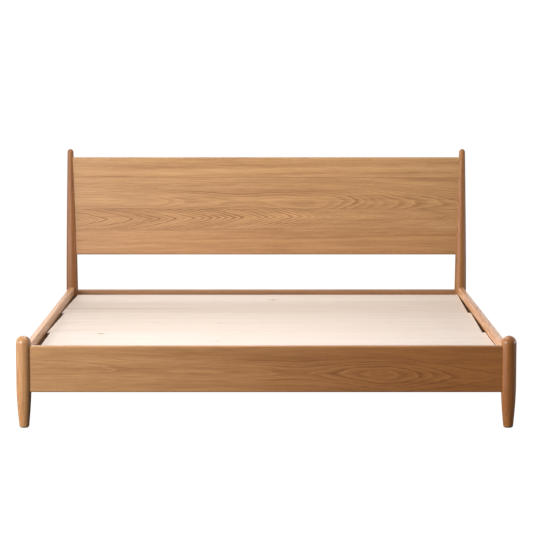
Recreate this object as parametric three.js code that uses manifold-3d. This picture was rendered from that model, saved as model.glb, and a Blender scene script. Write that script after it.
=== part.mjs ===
// A double bed frame in solid wood, for a mattress of 1800 by 2000 mm.
//
// Two turned front legs and two tall turned rear posts stand at the corners. A front and a rear rail are
// tenoned into them, and the two side rails are drawn up to them with studs and half-moon nuts, so that the
// frame comes apart. A headboard panel of four boards is let into the leaning posts. Three loose deck
// panels lie on cleats and on a centre beam, which has a leg of its own under its middle.
//
// Millimetres, +Z up, +Y towards the headboard, -X on the left as seen from the foot of the bed. Pieces are
// measured from the line between the front legs' axes, and the whole bed is then centred on its own box.
import * as THREE from "three";
import { mergeVertices } from "three/addons/utils/BufferGeometryUtils.js";
import Module from "manifold-3d";

const wasm = await Module();
wasm.setup();

// Driving dimensions
const MATTRESS = { width: 1800, length: 2000 };
const MATTRESS_PLAY = 15; // room left in the frame, over the mattress's own width and length
const GAP = 0.3; // between two pieces that touch

const RAIL = { thickness: 26, bottom: 138, top: 318, edge: 6 };
const FRONT_RAIL = { y: -1.5, shoulder: 910, tenonEnd: 928, tenonForward: 6 };
const REAR_RAIL = { top: 305, shoulder: 899, tenonEnd: 912, tenonForward: 0, behindPost: 3 };
const TENON = { thickness: 8, shoulder: 20 };
const HOUSING = { front: 14, rear: 14 }; // from the leg's or post's axis to the side rail's end

const LEG = { x: 932, radius: 29, foot: 19, straightFrom: 170, domeFrom: 327, top: 356 };
const POST = { x: 919, radius: 27.5, foot: 19, straightFrom: 250, domeFrom: 953, top: 968 };
const POST_TAPER = { tip: 14, outward: 0.55 }; // the axis moves outwards by this share of the thinning
const LEAN = { degrees: 5, from: 300, to: 460 }; // the posts bend back between these two heights
const GLIDE = { radius: 15, thickness: 2.5, pinRadius: 2.5, pinTop: 14 };

const HEADBOARD = { bottom: 471, thickness: 20, edge: 6, tongueThickness: 8, tongueLength: 9 };
const HEADBOARD_ENDS = { lower: 900.5, upper: 919.3 }; // half the panel's width at its bottom and top
const HEADBOARD_BOARDS = [120, 95, 150, 95]; // from the bottom board to the top one

const DECK = { top: 283, thickness: 18, width: 1796, skew: 14, legNotch: { x: 889, y: 34 } };
const DECK_PANELS = {
  front: { y: [13.5, 644], skew: 0, shift: 7, notched: true },
  middle: { y: [646, 1312], skew: DECK.skew, shift: 0, notched: false },
  rear: { y: [1314, 2012], skew: DECK.skew, shift: 0, notched: false },
};
const BATTEN = { width: 60, thickness: 18, x: 430, inset: 38 };
const CLEAT = { width: 28, height: 40, sideEnd: 85, endX: [60, 860] };
const BEAM = { width: 45, height: 70, play: 0.5 };
const HANGER = { plate: 2.5, seat: 40, earX: 46, ears: [200, 255] };
const CENTRE_LEG = { radius: 22.5, foot: 16, bottom: 24, boltBottom: 158, boltTop: 230 };
const LEVELLER = { radius: 20, height: 12, stem: 5, stemTop: 52, bore: 70, play: 0.3 };

const STUD = { radius: 4, heights: { lower: 176, upper: 236 }, inLeg: 15, inPost: 24, past: 6 };
const POCKET = { radius: 17, depth: 20, fromRailEnd: 45 };
const NUT = { radius: 16.2, flat: 3, thickness: 13, hexagon: 7.5, hexagonLength: 10 };
const SCREW = { radius: 2.2, head: 4.5, headDepth: 3, length: 45, z: 245 };
const SCREW_PLACES = { front: 250, middle: 1018, rear: 1786 };

const TURNED_SIDES = 24;
const ROD_SIDES = 12;

// Places worked out from them
const sides = { left: -1, right: 1 };
const railSpan = [RAIL.bottom, RAIL.top];
const rearRailSpan = [RAIL.bottom, REAR_RAIL.top];
const openingHalfWidth = (MATTRESS.width + MATTRESS_PLAY) / 2;
const sideRailX = openingHalfWidth + RAIL.thickness / 2;
const openingFrontY = FRONT_RAIL.y + RAIL.thickness / 2;
const openingRearY = openingFrontY + MATTRESS.length + MATTRESS_PLAY;
const rearRailY = openingRearY + RAIL.thickness / 2;
const postY = rearRailY - REAR_RAIL.behindPost;
const sideRailY = [HOUSING.front + GAP, postY - HOUSING.rear - GAP];
const pocketY = { front: sideRailY[0] + POCKET.fromRailEnd, rear: sideRailY[1] - POCKET.fromRailEnd };
const footTop = GLIDE.thickness + GAP;
const deckUnderside = DECK.top - DECK.thickness;
const supportTop = deckUnderside - GAP;
const beamBottom = supportTop - BEAM.height;
const beamMiddleY = (openingFrontY + openingRearY) / 2;
const cleatSpan = [supportTop - CLEAT.height, supportTop];
const cleatInnerX = openingHalfWidth - GAP - CLEAT.width;
const lean = THREE.MathUtils.degToRad(LEAN.degrees);
const leanPivotZ = (LEAN.from + LEAN.to) / 2;

// Materials
const wood = (color, roughness) => new THREE.MeshStandardMaterial({ color, roughness, metalness: 0 });
const oak = wood(0xb8875a, 0.5);
const deckPine = wood(0xf0dfd0, 0.65);
const framePine = wood(0xd8b98c, 0.7);
const plastic = new THREE.MeshStandardMaterial({ color: 0x3a3733, roughness: 0.6, metalness: 0 });
const steel = new THREE.MeshStandardMaterial({ color: 0xb9bcc0, roughness: 0.35, metalness: 0.9 });

// Joining and cutting
function solidOf(geometry) {
  const plain = geometry.clone();
  plain.deleteAttribute("normal");
  plain.deleteAttribute("uv");
  const merged = mergeVertices(plain, 1e-3);
  const vertProperties = merged.getAttribute("position").array;
  const triVerts = new Uint32Array(merged.index.array);
  return new wasm.Manifold(new wasm.Mesh({ numProp: 3, vertProperties, triVerts }));
}

function geometryOf(solid) {
  const { vertProperties, triVerts } = solid.getMesh();
  const geometry = new THREE.BufferGeometry();
  geometry.setAttribute("position", new THREE.BufferAttribute(vertProperties, 3));
  geometry.setIndex(new THREE.BufferAttribute(triVerts, 1));
  return geometry.toNonIndexed();
}

function join(first, ...others) {
  return geometryOf(others.reduce((sum, other) => sum.add(solidOf(other)), solidOf(first)));
}

function cut(piece, ...tools) {
  return geometryOf(tools.reduce((rest, tool) => rest.subtract(solidOf(tool)), solidOf(piece)));
}

// Basic forms
function block([x0, x1], [y0, y1], [z0, z1]) {
  const box = new THREE.BoxGeometry(x1 - x0, y1 - y0, z1 - z0);
  return box.translate((x0 + x1) / 2, (y0 + y1) / 2, (z0 + z1) / 2);
}

function rodAlongY(radius, x, [y0, y1], z) {
  const rod = new THREE.CylinderGeometry(radius, radius, y1 - y0, ROD_SIDES);
  return rod.translate(x, (y0 + y1) / 2, z);
}

function rodAlongZ(radius, x, y, [z0, z1]) {
  const rod = new THREE.CylinderGeometry(radius, radius, z1 - z0, ROD_SIDES);
  return rod.rotateX(Math.PI / 2).translate(x, y, (z0 + z1) / 2);
}

// A span that reaches outwards from the middle of the bed, on the side that sign gives
const outward = (sign, from, to) => (sign > 0 ? [from, to] : [-to, -from]);

// A section that stands upright and is centred across, with rounded corners at its bottom and top
function section(width, [bottom, top], bottomRadius, topRadius) {
  const half = width / 2;
  const shape = new THREE.Shape();
  const corner = (x, y, radius, start) => {
    if (radius > 0) shape.absarc(x, y, radius, start, start + Math.PI / 2);
    else shape.lineTo(x, y);
  };
  shape.moveTo(-half + bottomRadius, bottom);
  corner(half - bottomRadius, bottom + bottomRadius, bottomRadius, -Math.PI / 2);
  corner(half - topRadius, top - topRadius, topRadius, 0);
  corner(-half + topRadius, top - topRadius, topRadius, Math.PI / 2);
  corner(-half + bottomRadius, bottom + bottomRadius, bottomRadius, Math.PI);
  return shape;
}

function extrude(shape, length) {
  const options = { depth: length, bevelEnabled: false, curveSegments: 3 };
  return new THREE.ExtrudeGeometry(shape, options).translate(0, 0, -length / 2);
}

const alongY = (geometry) => geometry.rotateX(Math.PI / 2);
const alongX = (geometry) => alongY(geometry).rotateZ(Math.PI / 2);

// A rail's section. grow makes it larger all round, to cut the housing that the rail stands in.
function railSection([bottom, top], grow) {
  const edge = RAIL.edge + grow;
  return section(RAIL.thickness + 2 * grow, [bottom - grow, top + grow], edge, edge);
}

// A turned piece about the Z axis, from its outline of radius and height, placed at x and y
function turned(points, x, y, segments = TURNED_SIDES) {
  const outline = points.map(([radius, height]) => new THREE.Vector2(radius, height));
  return new THREE.LatheGeometry(outline, segments).rotateX(Math.PI / 2).translate(x, y, 0);
}

// The outline from the foot up to full thickness: a small rounding, then a swelling taper
function footOutline(footRadius, fullRadius, straightFrom) {
  const edge = 3;
  const uprightShare = 0.6; // how high in the taper its curve's control point lies
  const control = footTop + uprightShare * (straightFrom - footTop);
  const taper = new THREE.QuadraticBezierCurve(
    new THREE.Vector2(footRadius, footTop + edge),
    new THREE.Vector2(fullRadius, control),
    new THREE.Vector2(fullRadius, straightFrom),
  );
  const points = taper.getPoints(8).map(({ x, y }) => [x, y]);
  return [[0, footTop], [footRadius - edge, footTop], ...points];
}

// The dome that closes the top of a turned piece
function domeOutline(radius, from, top, steps) {
  const outline = [];
  for (let i = 1; i < steps; i++) {
    const angle = (i / steps) * (Math.PI / 2);
    outline.push([radius * Math.cos(angle), from + (top - from) * Math.sin(angle)]);
  }
  outline.push([0, top]);
  return outline;
}

// Front and rear rails, tenoned into the legs or posts at both ends
function tenonedRail(y, [bottom, top], { shoulder, tenonEnd, tenonForward }, grow) {
  const body = alongX(extrude(railSection([bottom, top], grow), 2 * (shoulder + grow))).translate(0, y, 0);
  const half = TENON.thickness / 2 + grow;
  const tenonY = y - tenonForward;
  const tenonSpan = [bottom + TENON.shoulder - grow, top - TENON.shoulder + grow];
  const tenon = block([-tenonEnd - grow, tenonEnd + grow], [tenonY - half, tenonY + half], tenonSpan);
  return join(body, tenon);
}

const frontRail = (grow = 0) => tenonedRail(FRONT_RAIL.y, railSpan, FRONT_RAIL, grow);
const rearRail = (grow = 0) => tenonedRail(rearRailY, rearRailSpan, REAR_RAIL, grow);

// Studs: each runs from inside a leg or post into its pocket in the side rail
function stud(sign, end, z, grow = 0) {
  const span = {
    front: [HOUSING.front - STUD.inLeg, pocketY.front + STUD.past],
    rear: [pocketY.rear - STUD.past, postY - HOUSING.rear + STUD.inPost],
  }[end];
  return rodAlongY(STUD.radius + grow, sign * sideRailX, [span[0] - grow, span[1] + grow], z);
}

const studHoles = (sign, end) => Object.values(STUD.heights).map((z) => stud(sign, end, z, GAP));

// Side rails: bored from each end for the studs, with a round pocket for each nut in the inner face
function sideRailBar(sign, grow = 0) {
  const [start, end] = sideRailY;
  const bar = extrude(railSection(railSpan, grow), end - start + 2 * grow);
  return alongY(bar).translate(sign * sideRailX, (start + end) / 2, 0);
}

function pocket(sign, y, z) {
  const [x0, x1] = outward(sign, openingHalfWidth - 1, openingHalfWidth + POCKET.depth);
  const hole = new THREE.CylinderGeometry(POCKET.radius, POCKET.radius, x1 - x0, 20);
  return hole.rotateZ(Math.PI / 2).translate((x0 + x1) / 2, y, z);
}

function sideRail(sign) {
  const tools = Object.values(SCREW_PLACES).map((y) => cleatScrew(sign, y, GAP));
  for (const end of ["front", "rear"]) {
    tools.push(...studHoles(sign, end));
    for (const z of Object.values(STUD.heights)) tools.push(pocket(sign, pocketY[end], z));
  }
  return cut(sideRailBar(sign), ...tools);
}

// A nut with a half-moon face, which bears on the round wall of its pocket on the side of the joint
function halfMoonNut(sign, end, z) {
  const start = Math.asin(NUT.flat / NUT.radius);
  const moon = new THREE.Shape().absarc(0, 0, NUT.radius, Math.PI + start, 2 * Math.PI - start);
  const face = extrude(moon, NUT.thickness).rotateY(Math.PI / 2);
  const hexagon = new THREE.CylinderGeometry(NUT.hexagon, NUT.hexagon, NUT.hexagonLength, 6);
  const bore = rodAlongY(STUD.radius + GAP, 0, [-NUT.radius - 1, NUT.radius], 0);
  const nut = cut(join(face, hexagon), bore);
  if (end === "rear") nut.rotateZ(Math.PI);
  return nut.translate(sign * sideRailX, pocketY[end], z);
}

// The glide under a foot: a disc with a pin that is driven into the wood
function glide(x, y, grow = 0) {
  const { radius, thickness, pinRadius, pinTop } = GLIDE;
  const pinOutline = [[pinRadius + grow, thickness], [pinRadius + grow, pinTop + grow], [0, pinTop + grow]];
  return turned([[0, 0], [radius, 0], [radius, thickness], ...pinOutline], x, y, 16);
}

// Front legs: turned, straight beside the rails, domed on top
function frontLeg(sign) {
  const outline = [
    ...footOutline(LEG.foot, LEG.radius, LEG.straightFrom),
    [LEG.radius, LEG.domeFrom],
    ...domeOutline(LEG.radius, LEG.domeFrom, LEG.top, 6),
  ];
  const x = sign * LEG.x;
  const housings = [frontRail(GAP), sideRailBar(sign, GAP), ...studHoles(sign, "front")];
  return cut(turned(outline, x, 0), glide(x, 0, GAP), ...housings);
}

// Rear posts: turned, thinner towards the top, mostly on their inner side, and bent back to the lean
function postShrink(z) {
  const rise = (z - POST.straightFrom) / (POST.domeFrom - POST.straightFrom);
  return (POST.radius - POST_TAPER.tip) * THREE.MathUtils.clamp(rise, 0, 1) ** 1.5;
}

function postBack(z) {
  if (z <= LEAN.from) return 0;
  if (z >= LEAN.to) return Math.tan(lean) * (z - leanPivotZ);
  return (Math.tan(lean) * (z - LEAN.from) ** 2) / (2 * (LEAN.to - LEAN.from));
}

function bentPost(outline, sign) {
  const post = turned(outline, sign * POST.x, postY);
  const position = post.getAttribute("position");
  for (let i = 0; i < position.count; i++) {
    const z = position.getZ(i);
    position.setX(i, position.getX(i) + sign * POST_TAPER.outward * postShrink(z));
    position.setY(i, position.getY(i) + postBack(z));
  }
  return post;
}

function rearPost(sign) {
  const rings = [POST.straightFrom, LEAN.from, 340, 380, 420, LEAN.to, 560, 660, 760, 860, POST.domeFrom];
  const outline = [
    ...footOutline(POST.foot, POST.radius, POST.straightFrom),
    ...rings.map((z) => [POST.radius - postShrink(z), z]),
    ...domeOutline(POST_TAPER.tip, POST.domeFrom, POST.top, 5),
  ];
  const housings = [rearRail(GAP), sideRailBar(sign, GAP), ...studHoles(sign, "rear"), headboardHousing()];
  return cut(bentPost(outline, sign), glide(sign * POST.x, postY, GAP), ...housings);
}

// The headboard's boards are made upright, their heights measured along the lean from the posts' bend, in
// a group that is then leaned back with the posts. Their ends follow the posts, so they slant.
const headboardStart = (HEADBOARD.bottom - leanPivotZ) / Math.cos(lean);
const headboardHeight = HEADBOARD_BOARDS.reduce((sum, height) => sum + height, 0);

function slantedBar(shape, extra) {
  const bar = alongX(extrude(shape, 2));
  const position = bar.getAttribute("position");
  for (let i = 0; i < position.count; i++) {
    const rise = (position.getZ(i) - headboardStart) / headboardHeight;
    const end = THREE.MathUtils.lerp(HEADBOARD_ENDS.lower, HEADBOARD_ENDS.upper, rise) + extra;
    position.setX(i, Math.sign(position.getX(i)) * end);
  }
  return bar;
}

// A board with a tongue at each end, which stops short of the panel's rounded outer edges
function headboardPiece([bottom, top], bottomEdge, topEdge, grow = 0) {
  const body = section(HEADBOARD.thickness + 2 * grow, [bottom - grow, top + grow], bottomEdge, topEdge);
  const inset = (edge) => (edge > 0 ? 12 : 0);
  const tongueSpan = [bottom - grow + inset(bottomEdge), top + grow - inset(topEdge)];
  const tongue = section(HEADBOARD.tongueThickness + 2 * grow, tongueSpan, 0, 0);
  return join(slantedBar(body, grow), slantedBar(tongue, HEADBOARD.tongueLength + grow));
}

function headboardHousing() {
  const span = [headboardStart, headboardStart + headboardHeight];
  const edge = HEADBOARD.edge + GAP;
  return headboardPiece(span, edge, edge, GAP).rotateX(-lean).translate(0, postY, leanPivotZ);
}

function headboardBoard(index) {
  const last = HEADBOARD_BOARDS.length - 1;
  const below = HEADBOARD_BOARDS.slice(0, index).reduce((sum, height) => sum + height, 0);
  const bottom = headboardStart + below + (index > 0 ? GAP / 2 : 0);
  const top = headboardStart + below + HEADBOARD_BOARDS[index] - (index < last ? GAP / 2 : 0);
  const edgeAt = (outermost) => (index === outermost ? HEADBOARD.edge : 0);
  return headboardPiece([bottom, top], edgeAt(0), edgeAt(last));
}

// Deck panels: their ends slant a little, and the front one is notched for the front legs
function deckPanel({ y: [front, rear], skew, shift, notched }) {
  const half = DECK.width / 2;
  const left = -half + shift;
  const right = half + shift;
  const outline = [[right + skew / 2, rear], [left + skew / 2, rear]];
  if (notched) {
    const { x, y } = DECK.legNotch;
    outline.push([left, y], [-x, y], [-x, front], [x, front], [x, y], [right, y]);
  } else {
    outline.push([left - skew / 2, front], [right - skew / 2, front]);
  }
  const shape = new THREE.Shape(outline.map(([x, y]) => new THREE.Vector2(x, y)));
  return extrude(shape, DECK.thickness).translate(0, 0, DECK.top - DECK.thickness / 2);
}

function batten({ y: [front, rear] }, sign) {
  const x = outward(sign, BATTEN.x - BATTEN.width / 2, BATTEN.x + BATTEN.width / 2);
  return block(x, [front + BATTEN.inset, rear - BATTEN.inset], [supportTop - BATTEN.thickness, supportTop]);
}

// Cleats and their screws
function cleatScrew(sign, y, grow = 0) {
  const { radius, head, headDepth, length } = SCREW;
  const outline = [
    [0, -length - grow],
    [radius + grow, -length - grow],
    [radius + grow, -headDepth],
    [head + grow, -grow],
    [head + grow, grow],
    [0, grow],
  ];
  if (grow === 0) outline.splice(4, 1);
  const inward = turned(outline, 0, 0, 10).rotateY((-sign * Math.PI) / 2);
  return inward.translate(sign * (cleatInnerX + GAP), y, SCREW.z);
}

function sideCleat(sign) {
  const x = outward(sign, cleatInnerX, cleatInnerX + CLEAT.width);
  const bar = block(x, [sideRailY[0] + CLEAT.sideEnd, sideRailY[1] - CLEAT.sideEnd], cleatSpan);
  return cut(bar, ...Object.values(SCREW_PLACES).map((y) => cleatScrew(sign, y, GAP)));
}

function endCleat(sign, end) {
  const y = {
    front: [openingFrontY + GAP, openingFrontY + GAP + CLEAT.width],
    rear: [openingRearY - GAP - CLEAT.width, openingRearY - GAP],
  }[end];
  return block(outward(sign, ...CLEAT.endX), y, cleatSpan);
}

// Centre beam, its steel hangers, its leg and the leg's levelling foot
const centreBolt = (grow = 0) => {
  const span = [CENTRE_LEG.boltBottom - grow, CENTRE_LEG.boltTop + grow];
  return rodAlongZ(STUD.radius + grow, 0, beamMiddleY, span);
};

function centreBeam() {
  const inset = GAP + HANGER.plate + BEAM.play;
  const half = BEAM.width / 2;
  const bar = block([-half, half], [openingFrontY + inset, openingRearY - inset], [beamBottom, supportTop]);
  return cut(bar, centreBolt(GAP));
}

function beamHanger(end) {
  const inner = BEAM.width / 2 + GAP;
  const outer = inner + HANGER.plate;
  const floor = beamBottom - GAP;
  const bottom = floor - HANGER.plate;
  const reach = HANGER.plate + HANGER.seat;
  const trough = block([-outer, outer], [0, reach], [bottom, HANGER.ears[1]]);
  const ears = block([-HANGER.earX, HANGER.earX], [0, HANGER.plate], HANGER.ears);
  const room = block([-inner, inner], [HANGER.plate, reach + 1], [floor, HANGER.ears[1] + 1]);
  const hanger = cut(join(trough, ears), room);
  if (end === "rear") return hanger.rotateZ(Math.PI).translate(0, openingRearY - GAP, 0);
  return hanger.translate(0, openingFrontY + GAP, 0);
}

function centreLeg() {
  const { radius, foot, bottom } = CENTRE_LEG;
  const top = beamBottom - GAP;
  const outline = [[0, bottom], [foot - 1.5, bottom], [foot, bottom + 1.5], [radius, top], [0, top]];
  const bore = rodAlongZ(LEVELLER.stem + LEVELLER.play, 0, beamMiddleY, [bottom - 1, LEVELLER.bore]);
  return cut(turned(outline, 0, beamMiddleY), bore, centreBolt(GAP));
}

function levellingFoot() {
  const { radius, height, stem, stemTop } = LEVELLER;
  const outline = [
    [0, 0],
    [radius - 2, 0],
    [radius, 2],
    [radius, 7],
    [radius - 7, height],
    [stem, height],
    [stem, stemTop - 1],
    [stem - 1, stemTop],
    [0, stemTop],
  ];
  return turned(outline, 0, beamMiddleY, ROD_SIDES * 2);
}

// Assembly
const bed = new THREE.Group();

// Adds a piece. Its geometry, made where it stands in its group, is kept about an origin of its own.
function add(group, name, material, geometry, x = 0, y = 0, z = 0) {
  const mesh = new THREE.Mesh(geometry.translate(-x, -y, -z), material);
  mesh.name = name;
  mesh.position.set(x, y, z);
  group.add(mesh);
}

add(bed, "front_rail", oak, frontRail(), 0, FRONT_RAIL.y, RAIL.bottom);
add(bed, "rear_rail", oak, rearRail(), 0, rearRailY, RAIL.bottom);

for (const [side, sign] of Object.entries(sides)) {
  const legX = sign * LEG.x;
  const rearX = sign * POST.x;
  add(bed, `front_${side}_leg`, oak, frontLeg(sign), legX);
  add(bed, `rear_${side}_post`, oak, rearPost(sign), rearX, postY);
  add(bed, `front_${side}_glide`, plastic, glide(legX, 0), legX);
  add(bed, `rear_${side}_glide`, plastic, glide(rearX, postY), rearX, postY);
  add(bed, `${side}_side_rail`, oak, sideRail(sign), sign * sideRailX, 0, RAIL.bottom);
  add(bed, `${side}_side_cleat`, framePine, sideCleat(sign), sign * cleatInnerX, 0, supportTop);
  for (const [place, y] of Object.entries(SCREW_PLACES)) {
    add(bed, `${side}_cleat_screw_${place}`, steel, cleatScrew(sign, y), sign * cleatInnerX, y, SCREW.z);
  }
  for (const end of ["front", "rear"]) {
    add(bed, `${end}_${side}_end_cleat`, framePine, endCleat(sign, end), sign * CLEAT.endX[0], 0, supportTop);
    for (const [height, z] of Object.entries(STUD.heights)) {
      const place = [sign * sideRailX, pocketY[end], z];
      add(bed, `${end}_${side}_${height}_stud`, steel, stud(sign, end, z), ...place);
      add(bed, `${end}_${side}_${height}_nut`, steel, halfMoonNut(sign, end, z), ...place);
    }
  }
}

const headboard = new THREE.Group();
headboard.position.set(0, postY, leanPivotZ);
headboard.rotation.x = -lean;
for (let i = 0; i < HEADBOARD_BOARDS.length; i++) {
  add(headboard, `headboard_board_${i + 1}`, oak, headboardBoard(i));
}
bed.add(headboard);

for (const [place, panel] of Object.entries(DECK_PANELS)) {
  const deck = new THREE.Group();
  deck.position.z = deckUnderside;
  add(deck, `${place}_deck_panel`, deckPine, deckPanel(panel).translate(0, 0, -deckUnderside));
  for (const [side, sign] of Object.entries(sides)) {
    const geometry = batten(panel, sign).translate(0, 0, -deckUnderside);
    add(deck, `${place}_deck_${side}_batten`, framePine, geometry, sign * BATTEN.x);
  }
  bed.add(deck);
}

add(bed, "centre_beam", framePine, centreBeam(), 0, beamMiddleY, beamBottom);
add(bed, "front_beam_hanger", steel, beamHanger("front"), 0, openingFrontY, beamBottom);
add(bed, "rear_beam_hanger", steel, beamHanger("rear"), 0, openingRearY, beamBottom);
add(bed, "centre_leg", framePine, centreLeg(), 0, beamMiddleY);
add(bed, "centre_leg_bolt", steel, centreBolt(), 0, beamMiddleY, CENTRE_LEG.boltBottom);
add(bed, "centre_levelling_foot", plastic, levellingFoot(), 0, beamMiddleY);

// The origin is on the floor, under the middle of the bed's own box
bed.updateMatrixWorld(true);
const box = new THREE.Box3().setFromObject(bed, true);
bed.position.y = -(box.min.y + box.max.y) / 2;

export default bed;
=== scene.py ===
"""Workshop for a solid oak double bed: it shapes, joins and finishes every piece round the fixed frame."""

import math

import bmesh
import bpy
from bpy.props import FloatProperty, FloatVectorProperty, IntProperty, PointerProperty
from mathutils import Matrix, Vector


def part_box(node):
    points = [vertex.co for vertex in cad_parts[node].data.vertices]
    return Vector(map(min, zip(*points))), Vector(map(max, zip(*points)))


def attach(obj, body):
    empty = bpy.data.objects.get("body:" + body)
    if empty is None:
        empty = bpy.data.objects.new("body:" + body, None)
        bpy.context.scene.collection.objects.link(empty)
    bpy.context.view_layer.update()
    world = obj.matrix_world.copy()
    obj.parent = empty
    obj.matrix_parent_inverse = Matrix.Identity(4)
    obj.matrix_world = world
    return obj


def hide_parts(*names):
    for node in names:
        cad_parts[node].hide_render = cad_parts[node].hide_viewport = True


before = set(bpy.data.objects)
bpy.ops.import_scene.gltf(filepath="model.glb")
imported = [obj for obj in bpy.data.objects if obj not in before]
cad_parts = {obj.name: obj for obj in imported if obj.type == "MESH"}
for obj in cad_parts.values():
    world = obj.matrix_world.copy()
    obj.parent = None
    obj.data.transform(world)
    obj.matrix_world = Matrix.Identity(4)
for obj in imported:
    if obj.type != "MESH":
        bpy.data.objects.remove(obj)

bl_info = {
    "name": "Oak Bed Workshop",
    "version": (1, 0, 0),
    "blender": (4, 5, 0),
    "location": "3D View > Sidebar > Bed",
    "description": "Shapes and finishes the pieces of a solid oak bed frame",
    "category": "Object",
}

MM = 0.001
GAP = 0.3 * MM  # between two pieces that touch
SIDES = {"left": -1, "right": 1}
ENDS = ("front", "rear")
LEVELS = ("lower", "upper")
PLACES = ("front", "middle", "rear")
AXES = {"x": Vector((1, 0, 0)), "y": Vector((0, 1, 0)), "z": Vector((0, 0, 1))}

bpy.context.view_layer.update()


# Places read from the frame

def middle(node):
    low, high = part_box(node)
    return (low + high) / 2


def span(node, axis="x"):
    low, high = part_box(node)
    return getattr(high, axis) - getattr(low, axis)


FRONT_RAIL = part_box("front_rail")
REAR_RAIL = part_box("rear_rail")
SIDE_RAILS = {side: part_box(f"{side}_side_rail") for side in SIDES}
CORNERS = {end: {side: middle(f"{end}_{side}_glide") for side in SIDES} for end in ENDS}
LEG_RADIUS = span("front_left_leg") / 2
FOOT_BOTTOM, LEG_TOP = (corner.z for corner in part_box("front_left_leg"))
POST_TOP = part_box("rear_left_post")[1].z
POST_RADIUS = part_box("rear_right_post")[1].x - CORNERS["rear"]["right"].x


# Settings that a user would change

def length(name, description, default):
    return FloatProperty(name=name, description=description, default=default * MM, min=0, unit="LENGTH")


def colour(name, description, default):
    return FloatVectorProperty(
        name=name, description=description, subtype="COLOR", default=default, min=0, max=1)


def power(name, description, default):
    return FloatProperty(name=name, description=description, default=default, min=0, unit="POWER")


class BedShape(bpy.types.PropertyGroup):
    """Sizes that a maker chooses within the frame."""

    rail_edge: length("Rail edge", "Rounding of the rails' long edges", 6)
    front_tenon: length("Front tenon", "Length of the front rail's tenons past their shoulders", 18)
    rear_tenon: length("Rear tenon", "Length of the rear rail's tenons past their shoulders", 13)
    tenon_forward: FloatProperty(
        name="Tenon forward", description="How far the front rail's tenons lie in front of its middle",
        default=6 * MM, unit="LENGTH")
    tenon_thickness: length("Tenon thickness", "Thickness of the rails' tenons", 8)
    tenon_shoulder: length("Tenon shoulder", "How far a tenon stays from its rail's top and bottom", 20)
    foot_radius: length("Foot radius", "Radius of a leg or post at the floor", 19)
    leg_straight_from: length(
        "Leg straight from", "Height at which a front leg reaches its full thickness", 170)
    post_straight_from: length(
        "Post straight from", "Height at which a rear post reaches its full thickness", 250)
    leg_dome: length("Leg dome", "Height of the dome on a front leg", 29)
    post_dome: length("Post dome", "Height of the dome on a rear post", 15)
    post_tip: length("Post tip", "Radius of a rear post just below its dome", 14)
    post_outward: FloatProperty(
        name="Post outward", description="Share of its thinning by which a rear post's axis moves outwards",
        default=0.55, min=0, max=1)
    lean: FloatProperty(
        name="Lean", description="How far the headboard leans back",
        default=math.radians(5), min=0, subtype="ANGLE")
    bend_from: length("Bend from", "Height at which the rear posts begin to bend back", 300)
    bend_to: length("Bend to", "Height at which the rear posts run straight again", 460)
    panel_bottom: length("Panel bottom", "Height of the headboard panel's lower edge", 471)
    panel_thickness: length("Panel thickness", "Thickness of the headboard panel", 20)
    panel_edge: length("Panel edge", "Rounding of the headboard panel's upper and lower edges", 6)
    panel_half_bottom: length(
        "Panel half width, bottom", "Half the headboard panel's width at its lower edge", 900.5)
    panel_half_top: length(
        "Panel half width, top", "Half the headboard panel's width at its upper edge", 919.3)
    deck_skew: FloatProperty(
        name="Deck skew", description="How far a loose deck panel's ends slant from front to rear",
        default=14 * MM, unit="LENGTH")
    turning_steps: IntProperty(
        name="Turning steps", description="Faces round a turned piece", default=96, min=12)


class BedFinish(bpy.types.PropertyGroup):
    """Colours of the woods."""

    oak_light: colour("Oak, light", "Lighter colour of the oiled oak", (0.44, 0.240, 0.114))
    oak_dark: colour("Oak, dark", "Darker colour of the oiled oak", (0.205, 0.084, 0.028))
    oak_pore: colour("Oak, pores", "Colour in the open pores of the oak", (0.12, 0.048, 0.018))
    deck_light: colour("Deck, light", "Lighter colour of the deck's pine", (0.665, 0.600, 0.548))
    deck_dark: colour("Deck, dark", "Darker colour of the deck's pine", (0.560, 0.470, 0.405))
    knot: colour("Knots", "Colour of the knots in the deck", (0.30, 0.18, 0.10))
    frame_light: colour(
        "Framing pine, light", "Lighter colour of the battens, cleats, beam and centre leg",
        (0.72, 0.53, 0.33))
    frame_dark: colour(
        "Framing pine, dark", "Darker colour of the battens, cleats, beam and centre leg",
        (0.50, 0.31, 0.155))


class BedStage(bpy.types.PropertyGroup):
    """Where the camera and the lights stand."""

    camera_place: FloatVectorProperty(
        name="Camera", description="Where the camera stands",
        subtype="TRANSLATION", unit="LENGTH", default=(0.001, -9.6103, 1.4987))
    camera_tilt: FloatProperty(
        name="Tilt", description="How far the camera looks down",
        default=math.radians(5.834), subtype="ANGLE")
    camera_lens: FloatProperty(
        name="Lens", description="Focal length", default=152.17, min=1, unit="CAMERA")
    window_power: power("Window", "Power of the large soft light on the left", 308)
    far_window_power: power("Far window", "Power of the light far to the left, level with the bed", 420)
    rear_window_power: power("Rear window", "Power of the light behind the headboard", 70)
    fill_power: power("Fill", "Power of the low soft light on the right", 110)
    ceiling_power: power("Ceiling", "Power of the large soft light over the bed", 90)
    sky: FloatProperty(
        name="Sky", description="Strength of the even light from all round", default=0.13, min=0)
    mirrored_sky: FloatProperty(
        name="Mirrored sky", description="Strength of the surroundings as glossy surfaces mirror them",
        default=0.95, min=0)
    floor_glow: FloatProperty(
        name="Floor glow", description="Strength of the light that the floor throws up on the bed",
        default=0.09, min=0)


def shape():
    return bpy.context.scene.bed_shape


# Modelling

def box_mesh(low, high):
    bm = bmesh.new()
    bmesh.ops.create_cube(bm, size=1)
    low, high = Vector(low), Vector(high)
    bmesh.ops.scale(bm, vec=high - low, verts=bm.verts)
    bmesh.ops.translate(bm, vec=(low + high) / 2, verts=bm.verts)
    return bm


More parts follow.
